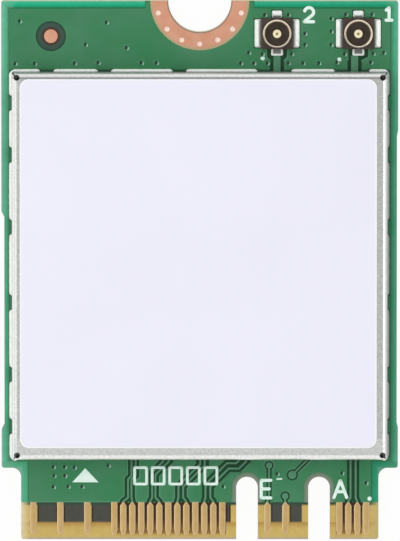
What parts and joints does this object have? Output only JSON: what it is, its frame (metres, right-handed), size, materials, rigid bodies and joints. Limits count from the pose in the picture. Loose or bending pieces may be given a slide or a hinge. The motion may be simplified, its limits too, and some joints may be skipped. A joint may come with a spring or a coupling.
{
  "type": "ngff wireless card",
  "caption": "Flat rectangular wireless network card with a keyed edge connector, a soldered shield can, coaxial antenna receptacles and a half-round screw notch.",
  "frame": {"origin": "centre of the card's underside, on the surface it lies on", "axes": "+X across the card towards contact 1, +Y along it towards the antenna end, +Z out of the component side"},
  "size_m": [0.022, 0.03, 0.0023],
  "materials": {
    "laminate": "green solder mask on glass-epoxy laminate",
    "masked_copper": "green solder mask over copper",
    "gold_contact": "gold plated",
    "bare_copper": "bare copper with a preservative film",
    "tinned_land": "tinned copper",
    "tinned_steel": "satin tin plate",
    "solder": "bright solder",
    "label_paper": "matt white",
    "receptacle_gold": "gold plated",
    "receptacle_insulator": "moulded",
    "chip_mould": "moulded",
    "ceramic_white": "fired",
    "crystal_cap": "satin",
    "ferrite": "pressed",
    "capacitor_ceramic": "fired",
    "resistor_ceramic": "glazed",
    "plated_terminal": "tin plated"
  },
  "bodies": {
    "root": {"circuit_board": "laminate", "ground_pour": "masked_copper", "signal_traces": "masked_copper", "contact_fingers_top": "gold_contact", "contact_fingers_bottom": "gold_contact", "mounting_pad_top": "bare_copper", "mounting_pad_bottom": "bare_copper", "fiducial_dot": "bare_copper", "shield_lands": "tinned_land", "antenna_lands": "tinned_land", "shield_can": "tinned_steel", "shield_solder": "solder", "antenna_solder": "solder", "label": "label_paper", "antenna_1_shell": "receptacle_gold", "antenna_2_shell": "receptacle_gold", "antenna_1_pin": "receptacle_gold", "antenna_2_pin": "receptacle_gold", "antenna_1_base": "receptacle_insulator", "antenna_2_base": "receptacle_insulator", "radio_chip": "chip_mould", "front_end_module_1": "chip_mould", "front_end_module_2": "chip_mould", "diplexer_1": "ceramic_white", "diplexer_2": "ceramic_white", "crystal_base": "ceramic_white", "crystal_lid": "crystal_cap", "power_inductor_1": "ferrite", "power_inductor_2": "ferrite", "capacitor_bodies": "capacitor_ceramic", "resistor_bodies": "resistor_ceramic", "capacitor_terminals": "plated_terminal", "resistor_terminals": "plated_terminal"}
  },
  "joints": []
}
